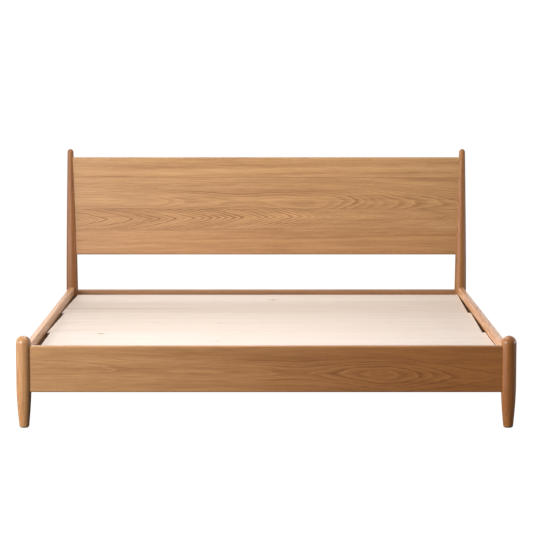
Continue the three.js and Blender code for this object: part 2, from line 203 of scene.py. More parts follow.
def edges_along(bm, axis):
    """The edges that run along one axis."""
    def share(edge):
        way = edge.verts[1].co - edge.verts[0].co
        return abs(way.dot(AXES[axis])) / way.length
    return [edge for edge in bm.edges if share(edge) > 0.999]


def round_edges(bm, edges, radius, segments=6):
    bmesh.ops.bevel(
        bm, geom=edges, offset=radius, offset_type="OFFSET", affect="EDGES",
        segments=segments, profile=0.5, material=-1, clamp_overlap=True)


def eased_box(node, edge=1.5 * MM):
    """A planed bar the size of a node, whose edges are all eased."""
    bm = box_mesh(*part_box(node))
    round_edges(bm, bm.edges[:], edge, 3)
    return bm


def facing(bm, direction):
    """The faces that look straight along a direction."""
    bm.normal_update()
    return [face for face in bm.faces if face.normal.dot(direction) > 0.999]


def add_tenon(bm, direction, width_share, height_share, length, shift=(0, 0, 0)):
    """Draws a tenon out of the end face that looks along direction: narrower and shorter than that face."""
    face = max(facing(bm, direction), key=lambda f: f.calc_center_median().dot(direction))
    for drawn_out in (False, True):
        grown = bmesh.ops.extrude_face_region(bm, geom=[face])["geom"]
        if face.is_valid:
            bmesh.ops.delete(bm, geom=[face], context="FACES_ONLY")
        face = next(part for part in grown if isinstance(part, bmesh.types.BMFace))
        if drawn_out:
            bmesh.ops.translate(bm, vec=direction * length, verts=face.verts)
        else:
            origin = sum((vert.co for vert in face.verts), Vector()) / len(face.verts)
            bmesh.ops.scale(
                bm, vec=(1, width_share, height_share), space=Matrix.Translation(-origin), verts=face.verts)
            bmesh.ops.translate(bm, vec=shift, verts=face.verts)


def turned_mesh(outline, steps, place=(0, 0, 0)):
    """A turned piece about the Z axis, from its outline of (radius, height)."""
    bm = bmesh.new()
    verts = [bm.verts.new((radius, 0, height)) for radius, height in outline]
    edges = [bm.edges.new(pair) for pair in zip(verts, verts[1:])]
    bmesh.ops.spin(
        bm, geom=verts + edges, cent=(0, 0, 0), axis=(0, 0, 1), dvec=(0, 0, 0),
        angle=math.tau, steps=steps, use_merge=True, use_duplicate=False)
    bmesh.ops.remove_doubles(bm, verts=bm.verts, dist=1e-6)
    bmesh.ops.recalc_face_normals(bm, faces=bm.faces)
    bmesh.ops.translate(bm, vec=place, verts=bm.verts)
    return bm


def aimed(bm, direction, place):
    """Turns a mesh made along Z to another direction, and puts it in place."""
    turn = Vector(direction).to_track_quat("Z", "Y").to_matrix().to_4x4()
    bmesh.ops.transform(bm, matrix=Matrix.Translation(Vector(place)) @ turn, verts=bm.verts)
    return bm


def rod_mesh(radius, start, end, steps=32):
    """A plain rod from one point to another."""
    start, end = Vector(start), Vector(end)
    bm = bmesh.new()
    bmesh.ops.create_cone(
        bm, cap_ends=True, segments=steps, radius1=radius, radius2=radius, depth=(end - start).length)
    return aimed(bm, end - start, (start + end) / 2)


def cut_off(bm, place, normal, dist=0.0):
    """Takes away what lies beyond a plane and closes the cut."""
    cut = bmesh.ops.bisect_plane(
        bm, geom=bm.verts[:] + bm.edges[:] + bm.faces[:], dist=dist,
        plane_co=place, plane_no=normal, clear_outer=True)["geom_cut"]
    bmesh.ops.edgeloop_fill(bm, edges=[part for part in cut if isinstance(part, bmesh.types.BMEdge)])


def crisp_edges(bm):
    return [edge for edge in bm.edges if edge.is_manifold and edge.calc_face_angle(0) > math.radians(40)]


def threaded_rod(radius, length, pitch=1.25 * MM, steps=20):
    """A metric thread along Z from 0 to length, cut square at both ends."""
    root = radius - 0.61 * pitch
    bm = bmesh.new()
    profile = [(root, 0.0), (radius, 0.44 * pitch), (radius, 0.56 * pitch), (root, pitch)]
    verts = [bm.verts.new((x, 0, z - pitch)) for x, z in profile]
    edges = [bm.edges.new(pair) for pair in zip(verts, verts[1:])]
    turns = math.ceil(length / pitch) + 2
    bmesh.ops.spin(
        bm, geom=verts + edges, cent=(0, 0, 0), axis=(0, 0, 1), dvec=(0, 0, pitch / steps),
        angle=math.tau * turns, steps=steps * turns, use_merge=False, use_duplicate=False)
    bmesh.ops.remove_doubles(bm, verts=bm.verts, dist=1e-6)
    for height, normal in ((0.0, -AXES["z"]), (length, AXES["z"])):
        cut_off(bm, (0, 0, height), normal, 1e-7)
    bmesh.ops.recalc_face_normals(bm, faces=bm.faces)
    return bm


def as_object(bm, name):
    mesh = bpy.data.meshes.new(name)
    bm.to_mesh(mesh)
    bm.free()
    made = bpy.data.objects.new(name, mesh)
    bpy.context.scene.collection.objects.link(made)
    return made


def carve(bm, tools, operation="DIFFERENCE"):
    """Cuts tools out of a mesh, or joins them to it, and gives the new mesh."""
    body = as_object(bm, "carving")
    cutters = [as_object(tool, "cutter") for tool in tools]
    for cutter in cutters:
        step = body.modifiers.new("carve", "BOOLEAN")
        step.operation = operation
        step.solver = "EXACT"
        step.object = cutter
    result = bmesh.new()
    result.from_object(body, bpy.context.evaluated_depsgraph_get())
    for leftover in (body, *cutters):
        bpy.data.meshes.remove(leftover.data)
    return result


def piece(name, bm, material, body="frame", sharp=32):
    """Makes a finished mesh into a piece that rides on a body and stands for the CAD node of its name."""
    bmesh.ops.remove_doubles(bm, verts=bm.verts, dist=1e-6)
    bmesh.ops.recalc_face_normals(bm, faces=bm.faces)
    for face in bm.faces:
        face.smooth = True
    for edge in bm.edges:
        edge.smooth = edge.is_manifold and edge.calc_face_angle(0) < math.radians(sharp)
    made = as_object(bm, name)
    made.data.materials.append(material)
    normals = made.modifiers.new("flat_faces_stay_flat", "WEIGHTED_NORMAL")
    normals.keep_sharp = True
    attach(made, body)
    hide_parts(name)


# Shapes that more than one piece needs

def rail_bar(low, high, axis, grow=0.0):
    """A bar whose long edges are rounded. It can be grown all round, to cut the housing that it stands in."""
    more = Vector((grow, grow, grow))
    bm = box_mesh(low - more, high + more)
    round_edges(bm, edges_along(bm, axis), shape().rail_edge + grow, 8)
    return bm


def tenoned_rail(box, tenon_length, forward=0.0, grow=0.0):
    """An end rail along X with a tenon at each end, so far in front of the rail's middle."""
    low, high = box[0].copy(), box[1].copy()
    low.x += tenon_length
    high.x -= tenon_length
    width, height = high.y - low.y, high.z - low.z
    thickness = shape().tenon_thickness + 2 * grow
    tall = height - 2 * shape().tenon_shoulder + 2 * grow
    bm = rail_bar(low, high, "x", grow)
    for sign in SIDES.values():
        add_tenon(
            bm, AXES["x"] * sign, thickness / (width + 2 * grow), tall / (height + 2 * grow), tenon_length,
            (0, -forward, 0))
    return bm


def side_rail_bar(side, grow=0.0):
    return rail_bar(*SIDE_RAILS[side], "y", grow)


def stud_span(end, side, level):
    """Where a stud starts and ends."""
    low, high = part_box(f"{end}_{side}_{level}_stud")
    place = (low + high) / 2
    return Vector((place.x, low.y, place.z)), Vector((place.x, high.y, place.z)), (high.x - low.x) / 2


def stud_hole(end, side, level):
    start, finish, radius = stud_span(end, side, level)
    return rod_mesh(radius + GAP, start - AXES["y"] * GAP, finish + AXES["y"] * GAP)


def front_rail_bar(grow=0.0):
    return tenoned_rail(FRONT_RAIL, shape().front_tenon, shape().tenon_forward, grow)


def rear_rail_bar(grow=0.0):
    return tenoned_rail(REAR_RAIL, shape().rear_tenon, 0.0, grow)


def rounded_foot(radius, bottom, edge, steps=7):
    """The outline of a turned piece's lower edge, 15 degrees a step."""
    turns = [math.radians(15 * i) for i in range(steps)]
    return [(radius - edge + edge * math.sin(t), bottom + edge - edge * math.cos(t)) for t in turns]


def foot_outline(full_radius, top, steps=28):
    """The outline from the glide up to full thickness: a small rounding, then a swelling taper."""
    edge = 3 * MM
    foot = shape().foot_radius
    control = FOOT_BOTTOM + 0.6 * (top - FOOT_BOTTOM)
    taper = []
    for i in range(steps + 1):
        t = i / steps
        radius = (1 - t) ** 2 * foot + (1 - (1 - t) ** 2) * full_radius
        height = (1 - t) ** 2 * (FOOT_BOTTOM + edge) + 2 * t * (1 - t) * control + t ** 2 * top
        taper.append((radius, height))
    return [(0, FOOT_BOTTOM), *rounded_foot(foot, FOOT_BOTTOM, edge, 6), *taper]


def dome_outline(radius, start, top, steps=18):
    turns = [math.pi / 2 * i / steps for i in range(1, steps)]
    return [(radius * math.cos(t), start + (top - start) * math.sin(t)) for t in turns] + [(0, top)]


def steps_between(start, end, step):
    count = max(1, round((end - start) / step))
    return [start + (end - start) * i / count for i in range(1, count + 1)]


# The leaning headboard panel

def lean_matrix():
    """Takes the upright panel to its leaning place. Its heights run along the lean, from the posts' bend."""
    pivot = Vector((0, CORNERS["rear"]["left"].y, bend_middle()))
    return Matrix.Translation(pivot) @ Matrix.Rotation(-shape().lean, 4, "X")


def bend_middle():
    return (shape().bend_from + shape().bend_to) / 2


BOARD_HEIGHTS = (120 * MM, 95 * MM, 150 * MM, 95 * MM)  # from the bottom board to the top one
GLUE_LINE = 0.02 * MM
BOARD_EASE = 0.25 * MM
TONGUE = {"thickness": 8 * MM, "length": 9 * MM, "inset": 12 * MM}


def panel_start():
    return (shape().panel_bottom - bend_middle()) / math.cos(shape().lean)


def slanted(bm):
    """Slants the ends of a board made 2 m long, so that they follow the posts."""
    start, height = panel_start(), sum(BOARD_HEIGHTS)
    low, high = shape().panel_half_bottom, shape().panel_half_top
    for vert in bm.verts:
        half = low + (high - low) * (vert.co.z - start) / height
        vert.co.x = math.copysign(half + abs(vert.co.x) - 1, vert.co.x)
    return bm


def headboard_blank(bottom, top, bottom_edge, top_edge, grow=0.0):
    """A length of the panel with a tongue at each end, which stops short of the rounded outer edges."""
    half = shape().panel_thickness / 2 + grow
    length = 1 + grow
    bm = box_mesh((-length, -half, bottom - grow), (length, half, top + grow))
    for height, edge in ((bottom - grow, bottom_edge), (top + grow, top_edge)):
        edges = [e for e in edges_along(bm, "x") if abs(e.verts[0].co.z - height) < 1e-6]
        round_edges(bm, edges, edge + grow, 7 if edge > MM else 2)
    insets = [TONGUE["inset"] if edge > MM else MM for edge in (bottom_edge, top_edge)]
    tall = top - bottom + 2 * grow
    tongue = tall - sum(insets)
    for sign in SIDES.values():
        add_tenon(
            bm, AXES["x"] * sign, (TONGUE["thickness"] / 2 + grow) / half, tongue / tall, TONGUE["length"],
            (0, 0, (insets[0] - insets[1]) / 2))
    slanted(bm)
    bmesh.ops.transform(bm, matrix=lean_matrix(), verts=bm.verts)
    return bm


# Shader nodes

class Tree:
    """Adds nodes to one tree. An input is a value or another node's output."""

    def __init__(self, tree):
        self.tree = tree

    def add(self, kind, inputs=None, **settings):
        node = self.tree.nodes.new(kind)
        count = len(self.tree.nodes)
        node.location = (220 * (count % 12), -260 * (count // 12))
        for name, value in settings.items():
            setattr(node, name, value)
        for key, value in (inputs or {}).items():
            self.feed(node.inputs[key], value)
        return node

    def feed(self, socket, value):
        if isinstance(value, bpy.types.NodeSocket):
            self.tree.links.new(value, socket)
        else:
            socket.default_value = value

    def math(self, operation, *values, clamp=False):
        inputs = dict(enumerate(values))
        return self.add("ShaderNodeMath", inputs, operation=operation, use_clamp=clamp).outputs[0]

    def plus(self, *values, clamp=False):
        return self.math("ADD", *values, clamp=clamp)

    def minus(self, *values):
        return self.math("SUBTRACT", *values)

    def times(self, *values, clamp=False):
        return self.math("MULTIPLY", *values, clamp=clamp)

    def scaled(self, value, factor, more):
        return self.math("MULTIPLY_ADD", value, factor, more)

    def vector(self, operation, *values):
        return self.add("ShaderNodeVectorMath", dict(enumerate(values)), operation=operation).outputs[0]

    def split(self, vector):
        return self.add("ShaderNodeSeparateXYZ", {0: vector}).outputs

    def join(self, x, y, z):
        return self.add("ShaderNodeCombineXYZ", {0: x, 1: y, 2: z}).outputs[0]

    def noise(self, vector, scale=1.0, detail=2.0, roughness=0.5, output="Fac"):
        return self.add("ShaderNodeTexNoise", {
            "Vector": vector, "Scale": scale, "Detail": detail, "Roughness": roughness}).outputs[output]

    def ramp(self, value, low, high, start=0.0, end=1.0):
        """Goes smoothly from start to end while value goes from low to high."""
        return self.add("ShaderNodeMapRange", {
            "Value": value, "From Min": low, "From Max": high, "To Min": start, "To Max": end,
        }, interpolation_type="SMOOTHSTEP").outputs[0]

    def mix(self, share, first, second, blend="MIX"):
        node = self.add("ShaderNodeMix", data_type="RGBA", blend_type=blend)
        for socket, value in zip((0, 6, 7), (share, first, second)):
            self.feed(node.inputs[socket], value)
        return node.outputs[2]

    def place(self):
        return self.add("ShaderNodeTexCoord").outputs["Object"]

    def surface(self, inputs):
        """Ends a material with a plain surface shader."""
        shader = self.add("ShaderNodeBsdfPrincipled", inputs)
        self.add("ShaderNodeOutputMaterial", {"Surface": shader.outputs[0]})

    def centred(self, value, reach):
        """A value around a half becomes one around zero that reaches so far each way."""
        return self.times(self.minus(value, 0.5), 2 * reach)


def solid(colour):
    return (*colour, 1.0)


def new_material(name):
    material = bpy.data.materials.new(name)
    material.use_nodes = True
    material.node_tree.nodes.clear()
    return material, Tree(material.node_tree)


def new_group(name, inputs, outputs):
    """A shader node group with named sockets: its tree, its inputs to read and its outputs to feed."""
    tree = bpy.data.node_groups.new(name, "ShaderNodeTree")
    for socket, default in inputs.items():
        kind = "NodeSocketVector" if default is None else "NodeSocketFloat"
        made = tree.interface.new_socket(socket, in_out="INPUT", socket_type=kind)
        if default is not None:
            made.default_value = default
    for socket in outputs:
        tree.interface.new_socket(socket, in_out="OUTPUT", socket_type="NodeSocketFloat")
    build = Tree(tree)
    return build, build.add("NodeGroupInput").outputs, build.add("NodeGroupOutput").inputs


def wood_grain():
    """Growth rings as the surface cuts them, and the streaks, fibres and pores that run along them.

    The vector is in metres, with X along the grain, Y across the board and Z through its thickness. The
    pith runs beside or under the board. Where it comes under the face, the rings open into arches, and
    where it is far to the side they run straight. Point makes the arches sharper. An eye is a swelling of
    the rings under the face, so that they close into long ovals.
    """
    existing = bpy.data.node_groups.get("wood_grain")
    if existing:
        return existing
    build, given, out = new_group("wood_grain", {
        "Vector": None, "Seed": 0.0, "Ring Spacing": 5 * MM, "Pith Side": 0.0, "Side Slope": 0.0,
        "Pith Depth": 50 * MM, "Depth Slope": 0.0, "Point": 0.0, "Eye Swell": 0.0, "Eye Place": 0.0,
        "Eye Length": 1.0, "Wander": 20 * MM,
    }, ["Rings", "Lines", "Tone", "Streaks", "Fibres", "Pores"])

    def stretched(along, across, shift):
        scaled = build.vector("MULTIPLY", given["Vector"], (along, across, across))
        return build.vector("ADD", scaled, build.join(build.times(given["Seed"], shift), shift, 0.0))

    def swayed(value, sway):
        return build.scaled(build.minus(sway, 0.5), given["Wander"], value)

    x, y, z = build.split(given["Vector"])
    sway_y, sway_z, _ = build.split(build.noise(stretched(1.6, 5.0, 3.7), detail=2.0, output="Color"))
    side = build.minus(y, build.scaled(x, given["Side Slope"], given["Pith Side"]))
    side = swayed(side, sway_y)
    away = build.math("DIVIDE", build.minus(x, given["Eye Place"]), given["Eye Length"])
    eye = build.math("EXPONENT", build.times(build.times(away, away), -1.0))
    depth = build.plus(z, build.scaled(x, given["Depth Slope"], given["Pith Depth"]))
    depth = build.minus(depth, build.times(eye, given["Eye Swell"]))
    depth = swayed(depth, sway_z)
    squares = build.scaled(side, side, build.times(depth, depth))
    reach = build.scaled(build.math("ABSOLUTE", side), given["Point"], build.math("SQRT", squares))
    rings = build.math("DIVIDE", reach, given["Ring Spacing"])
    rings = build.scaled(build.noise(stretched(9.0, 70.0, 9.1), detail=3.0), 0.9, rings)
    part = build.math("FRACT", rings)
    band = build.times(build.ramp(part, 0.12, 0.3), build.ramp(part, 0.34, 0.9, 1.0, 0.0))
    line = build.times(build.ramp(part, 0.0, 0.06), build.ramp(part, 0.06, 0.2, 1.0, 0.0))
    year = build.add("ShaderNodeTexWhiteNoise", {"W": build.math("FLOOR", rings)}, noise_dimensions="1D")
    band = build.times(band, build.scaled(year.outputs["Value"], 0.8, 0.2))
    line = build.times(line, build.math("POWER", year.outputs["Value"], 2.0))
    tone = build.noise(build.join(build.times(rings, 0.17), given["Seed"], 0.0), detail=1.0)
    broad = build.noise(stretched(1.7, 40.0, 5.3), detail=4.0, roughness=0.65)
    fine = build.noise(stretched(8.0, 170.0, 2.9), detail=4.0, roughness=0.75)
    fibres = build.noise(stretched(30.0, 1400.0, 1.3), detail=2.0)
    dashes = build.noise(stretched(55.0, 2300.0, 6.7), detail=1.0)
    pores = build.times(build.ramp(dashes, 0.58, 0.68), build.scaled(band, 0.8, 0.2))
    streaks = build.scaled(broad, 0.5, build.times(fine, 0.5))
    for socket, value in zip(out, (band, line, tone, streaks, fibres, pores)):
        build.feed(socket, value)
    return build.tree


def grain_turn(along, across, lean=0.0):
    """The turn that brings a board's grain to X and the way across its face to Y."""
    first, second = AXES[along], AXES[across]
    turn = Matrix((first, second, first.cross(second)))
    return turn @ Matrix.Rotation(lean, 3, "X")


LONG_END = 0.95  # m, from the middle of a long piece to where the colours set for its ends hold: tone on some pieces, painted shade on others
FIGURE = {  # the sockets of wood_grain that a board sets, each with the scale of its values
    "seed": ("Seed", 1.0), "rings": ("Ring Spacing", MM), "side": ("Pith Side", MM),
    "side_slope": ("Side Slope", 1.0), "depth": ("Pith Depth", MM), "depth_slope": ("Depth Slope", 1.0),
    "point": ("Point", 1.0), "swell": ("Eye Swell", MM), "eye": ("Eye Place", MM),
    "eye_length": ("Eye Length", MM), "wander": ("Wander", MM),
}


def wood(name, light, dark, pore, turn, centre, contrast=0.4, lines=0.3, streaks=1.1, tone=0.45,
         gloss=0.40, shade=(1, 1, 1), far_shade=None, figured=(-9, -8, 8, 9), knots=(), seams=(),
         rim=None, hidden=None, **figure):
    """The wood of one piece: its grain's direction, its place in the log and its own figure.

    figured gives where along the piece its rings grow clear and where they fade again. seams are open
    joints between planks, each drawn as a painted shadow line, rim is the half height of a board whose
    edges get painted shade for the shadow of its joints, and the gap shade gives the height below which
    an inner face, on the side that it names, is darkened by painted shade for the shaded gap by the deck.
    """
    material, build = new_material(name)
    where = build.add("ShaderNodeMapping", {
        "Vector": build.place(), "Location": -(turn @ centre), "Rotation": turn.to_euler(),
    }).outputs[0]
    grain = build.add("ShaderNodeGroup", node_tree=wood_grain())
    build.feed(grain.inputs["Vector"], where)
    for key, value in figure.items():
        socket, scale = FIGURE[key]
        build.feed(grain.inputs[socket], value * scale)
    seen = grain.outputs
    drift = build.plus(build.centred(seen["Streaks"], streaks), build.centred(seen["Tone"], tone))
    fibres = build.plus(build.centred(seen["Fibres"], 0.15), 0.28)
    along = build.split(where)[0]
    clear = build.times(build.ramp(along, *figured[:2]), build.ramp(along, *figured[2:], 1.0, 0.0))
    clear = build.scaled(clear, 0.75, 0.25)
    rings = build.scaled(seen["Lines"], -lines, build.times(seen["Rings"], contrast))
    rings = build.times(rings, clear)
    share = build.plus(rings, build.plus(drift, fibres), clamp=True)
    body = build.mix(share, solid(light), solid(dark))
    body = build.mix(build.times(seen["Pores"], 0.7), body, solid(pore))
    # shade and far_shade tint the piece from one end to the other. On some pieces they are painted light and
    # shade, as said where those pieces are made.
    shading = build.mix(build.ramp(along, -LONG_END, LONG_END), solid(shade), solid(far_shade or shade))
    body = build.mix(1.0, body, shading, "MULTIPLY")
    across, through = build.split(where)[1:]
    # A dark colour for painted shadow in joints and gaps.
    painted_shadow = solid(tuple(0.25 * channel for channel in dark))
    # Each open joint gets a painted shadow line, widest at the piece's left end.
    for place, width in seams:
        far = build.math("ABSOLUTE", build.minus(across, place))
        wide = build.ramp(along, -LONG_END, 0.1, width, 0.0)
        seam = build.times(build.minus(wide, far), 1 / MM, clamp=True)
        body = build.mix(build.times(seam, 0.85), body, painted_shadow)
    # Painted shade along a board's upper and lower edges, for the shadow of its joints.
    if rim:
        edge = build.ramp(build.math("ABSOLUTE", across), rim - 2.5 * MM, rim, 0.0, 0.4)
        body = build.mix(edge, body, painted_shadow)
    # Painted shade on an inner face below the deck's top, for the shaded gap beside the deck.
    if hidden:
        height, side = hidden
        below = build.ramp(across, height - MM, height, 1.0, 0.0)
        inside = build.ramp(build.times(through, side), 11 * MM, 12.5 * MM)
        body = build.mix(build.times(build.times(below, inside), 0.9), body, painted_shadow)
    knot_colour = solid(bpy.context.scene.bed_finish.knot)
    for place, radius, depth in knots:
        away = build.vector("MULTIPLY", build.vector("SUBTRACT", where, Vector(place)), (0.9, 0.7, 0.0))
        far = build.add("ShaderNodeVectorMath", {0: away}, operation="LENGTH").outputs["Value"]
        far = build.scaled(build.centred(build.noise(where, 160.0), 1.0), 0.5 * radius, far)
        halo = build.times(build.ramp(far, radius, 3.0 * radius, 1.0, 0.0), 0.2 * depth)
        body = build.mix(halo, body, knot_colour)
        body = build.mix(build.ramp(far, 0.3 * radius, 1.2 * radius, depth, 0.0), body, knot_colour)
    height = build.minus(build.times(seen["Fibres"], 0.3), seen["Pores"])
    bump = build.add("ShaderNodeBump", {"Height": height, "Strength": 0.2, "Distance": 0.3 * MM})
    roughness = build.scaled(seen["Pores"], 0.3, build.scaled(share, 0.1, gloss))
    build.surface({"Base Color": body, "Roughness": roughness, "Normal": bump.outputs[0], "IOR": 1.45})
    return material


WOODS = {  # for each slot, the start of its materials' names, its colours and its usual figure
    "oiled_oak": ("oak", ("oak_light", "oak_dark", "oak_pore"), {}),
    "deck_pine": ("pine", ("deck_light", "deck_dark", "deck_dark"), dict(
        rings=6.0, contrast=0.35, lines=0.1, streaks=1.2, tone=0.4, gloss=0.55)),
    "frame_pine": ("pine", ("frame_light", "frame_dark", "frame_dark"), dict(
        rings=4.0, contrast=0.6, streaks=0.4, gloss=0.6)),
}


def wooden(slot, name, bm, along, across, body="frame", lean=0.0, **figure):
    """Makes a wooden piece, with its grain along one axis and the way across its face along another."""
    start, names, usual = WOODS[slot]
    chosen = [getattr(bpy.context.scene.bed_finish, colour_name) for colour_name in names]
    turn = grain_turn(along, across, lean)
    finish = wood(f"{start}_{name}", *chosen, turn, middle(name), **{**usual, **figure})
    piece(name, bm, finish, body)


def zinc_steel():
    """Zinc-plated steel: bright, a little blotchy, with fine marks."""
    material, build = new_material("zinc_steel")
    where = build.place()
    blotch = build.noise(where, scale=90.0, detail=4.0, roughness=0.65)
    marks = build.noise(build.vector("MULTIPLY", where, (300.0, 300.0, 3000.0)), detail=1.0)
    bump = build.add("ShaderNodeBump", {"Height": marks, "Strength": 0.15, "Distance": 0.1 * MM})
    build.surface({
        "Base Color": build.mix(blotch, (0.50, 0.51, 0.52, 1), (0.74, 0.74, 0.72, 1)),
        "Roughness": build.scaled(blotch, 0.25, 0.2), "Metallic": 1.0, "Normal": bump.outputs[0]})
    return material


def dark_plastic():
    """Moulded plastic: matt, finely textured and scuffed."""
    material, build = new_material("dark_plastic")
    where = build.place()
    worn = build.ramp(build.noise(where, scale=140.0, detail=5.0, roughness=0.7), 0.56, 0.72)
    texture = build.noise(where, scale=2500.0, detail=2.0)
    bump = build.add("ShaderNodeBump", {"Height": texture, "Strength": 0.3, "Distance": 0.1 * MM})
    build.surface({
        "Base Color": build.mix(worn, (0.032, 0.029, 0.026, 1), (0.085, 0.078, 0.07, 1)),
        "Roughness": build.scaled(worn, 0.2, 0.5), "Normal": bump.outputs[0]})
    return material


# Operators

class BED_OT_end_rails(bpy.types.Operator):
    """Planes the front and rear rails and cuts their tenons"""
    bl_idname = "bed.end_rails"
    bl_label = "End Rails"

    def execute(self, context):
        # The front rail darkens and reddens towards its right end: painted shade, for the light falling away
        # to the right.
        wooden(
            "oiled_oak", "front_rail", front_rail_bar(), "x", "z",
            seed=1.0, rings=5.5, side=-13, side_slope=-0.02, depth=75, depth_slope=0.02, point=0.12, swell=26,
            eye=474, eye_length=230, wander=16, contrast=0.4, lines=1.5, gloss=0.3, shade=(1.0, 1.02, 0.97),
            far_shade=(0.80, 0.60, 0.36), figured=(-0.1, 0.1, 0.75, 0.9))
        wooden(
            "oiled_oak", "rear_rail", rear_rail_bar(), "x", "z",
            seed=7.0, rings=4.0, side=-150, side_slope=0.02, depth=60, wander=20, shade=(0.62, 0.58, 0.56))
        return {"FINISHED"}


class BED_OT_side_rails(bpy.types.Operator):
    """Planes the side rails, bores them for the studs and sinks the nuts' pockets"""
    bl_idname = "bed.side_rails"
    bl_label = "Side Rails"

    def execute(self, context):
        for side, sign in SIDES.items():
            name = f"{side}_side_rail"
            inner = min(abs(corner.x) for corner in SIDE_RAILS[side])
            tools = [screw_mesh(side, place, GAP) for place in PLACES]
            for end in ENDS:
                for level in LEVELS:
                    tools.append(stud_hole(end, side, level))
                    nut = middle(f"{end}_{side}_{level}_nut")
                    heart = Vector((0, pocket_y(end, side, level), nut.z))
                    depths = inner - MM, inner + POCKET["depth"]
                    ends = (heart + AXES["x"] * sign * x for x in depths)
                    tools.append(rod_mesh(POCKET["radius"], *ends, 48))
            # Each rail's inner face below the deck gets painted shade, for the shaded gap beside the deck.
            wooden(
                "oiled_oak", name, carve(side_rail_bar(side), tools), "y", "z", seed=20 + sign, rings=5,
                side=-120 * sign, side_slope=0.03, depth=45, wander=24, gloss=0.26,
                shade=SIDE_RAIL_PAINTED_SHEEN[side],
                hidden=(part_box("middle_deck_panel")[1].z - middle(name).z, -sign))
        return {"FINISHED"}


# Painted sheen: each side rail is lightened all over, standing in for the glossy light on its top and inner
# face.
SIDE_RAIL_PAINTED_SHEEN = {"left": (1.36, 1.34, 1.26), "right": (1.34, 1.34, 1.42)}
POCKET = {"radius": 17 * MM, "depth": 20 * MM}
NUT = {  # a half-moon nut: its round face's radius, how far its flat lies from that face's axis, and so on
    "radius": 16.2 * MM, "flat": 3 * MM, "thickness": 13 * MM, "hexagon": 7.5 * MM, "length": 10 * MM,
    "bore": 4.3 * MM}


def pocket_y(end, side, level):
    """The nut's round face stands NUT radius from its pocket's axis, on the side of the joint."""
    low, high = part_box(f"{end}_{side}_{level}_nut")
    return low.y + NUT["radius"] if end == "front" else high.y - NUT["radius"]


# The right leg is darkened and reddened by painted shade, for the light falling away to the right; the left
# leg's is only a slight tint.
LEG_PAINTED_SHADE = {"left": (0.98, 0.96, 0.88), "right": (0.79, 0.58, 0.34)}
GLIDE = {"thickness": 2.5 * MM, "pin": 2.5 * MM, "edge": 0.8 * MM, "ease": 0.4 * MM}


def corner_blank(end, side, outline):
    """A leg or post as it comes off the lathe, stood in its corner."""
    place = CORNERS[end][side]
    return turned_mesh(outline, shape().turning_steps, (place.x, place.y, 0))


def corner_joints(end, side, end_rail, *others):
    """What is cut out of a leg or post for its rails and what else it holds, its glide and its studs."""
    x, y = CORNERS[end][side].xy
    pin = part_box(f"{end}_{side}_glide")[1].z
    glide = rod_mesh(GLIDE["pin"] + GAP, (x, y, 0), (x, y, pin + GAP))
    studs = [stud_hole(end, side, level) for level in LEVELS]
    return [end_rail, side_rail_bar(side, GAP), *others, glide, *studs]


class BED_OT_front_legs(bpy.types.Operator):
    """Turns the front legs and cuts their mortises, housings and bores"""
    bl_idname = "bed.front_legs"
    bl_label = "Front Legs"

    def execute(self, context):
        dome_from = LEG_TOP - shape().leg_dome
        upright = [(LEG_RADIUS, z) for z in steps_between(shape().leg_straight_from, dome_from, 12 * MM)]
        foot = foot_outline(LEG_RADIUS, shape().leg_straight_from)
        outline = foot + upright + dome_outline(LEG_RADIUS, dome_from, LEG_TOP)
        for side, sign in SIDES.items():
            bm = corner_blank("front", side, outline)
            bm = carve(bm, corner_joints("front", side, front_rail_bar(GAP)))
            wooden(
                "oiled_oak", f"front_{side}_leg", bm, "z", "x", seed=30 + sign, rings=4,
                side=-28 + 10 * sign, side_slope=0.05, depth=36, wander=18, gloss=0.3, shade=LEG_PAINTED_SHADE[side])
        return {"FINISHED"}


def post_shrink(z):
    """How much thinner a post is than at the rails."""
    start = shape().post_straight_from
    rise = (z - start) / (POST_TOP - shape().post_dome - start)
    return (POST_RADIUS - shape().post_tip) * min(max(rise, 0), 1) ** 1.5


def post_back(z):
    """How far back a post's axis has bent."""
    start, end, slope = shape().bend_from, shape().bend_to, math.tan(shape().lean)
    if z <= start:
        return 0
    if z >= end:
        return slope * (z - bend_middle())
    return slope * (z - start) ** 2 / (2 * (end - start))


POST_SHADES = {"left": (0.48, 0.32, 0.13), "right": (0.58, 0.44, 0.20)}


class BED_OT_rear_posts(bpy.types.Operator):
    """Turns and bends the rear posts and cuts their mortises, housings and bores"""
    bl_idname = "bed.rear_posts"
    bl_label = "Rear Posts"

    def execute(self, context):
        dome_from = POST_TOP - shape().post_dome
        start = shape().post_straight_from
        upright = [(POST_RADIUS - post_shrink(z), z) for z in steps_between(start, dome_from, 12 * MM)]
        dome = dome_outline(shape().post_tip, dome_from, POST_TOP)
        outline = foot_outline(POST_RADIUS, start) + upright + dome
        edge = shape().panel_edge
        for side, sign in SIDES.items():
            bm = corner_blank("rear", side, outline)
            for vert in bm.verts:
                outward = sign * shape().post_outward * post_shrink(vert.co.z)
                vert.co += Vector((outward, post_back(vert.co.z), 0))
            housing = headboard_blank(panel_start(), panel_start() + sum(BOARD_HEIGHTS), edge, edge, GAP)
            bm = carve(bm, corner_joints("rear", side, rear_rail_bar(GAP), housing))
            wooden(
                "oiled_oak", f"rear_{side}_post", bm, "z", "x", seed=40 + sign, rings=4,
                side=-60 * sign, side_slope=0.02, depth=40, wander=14, gloss=0.46, shade=POST_SHADES[side])
        return {"FINISHED"}


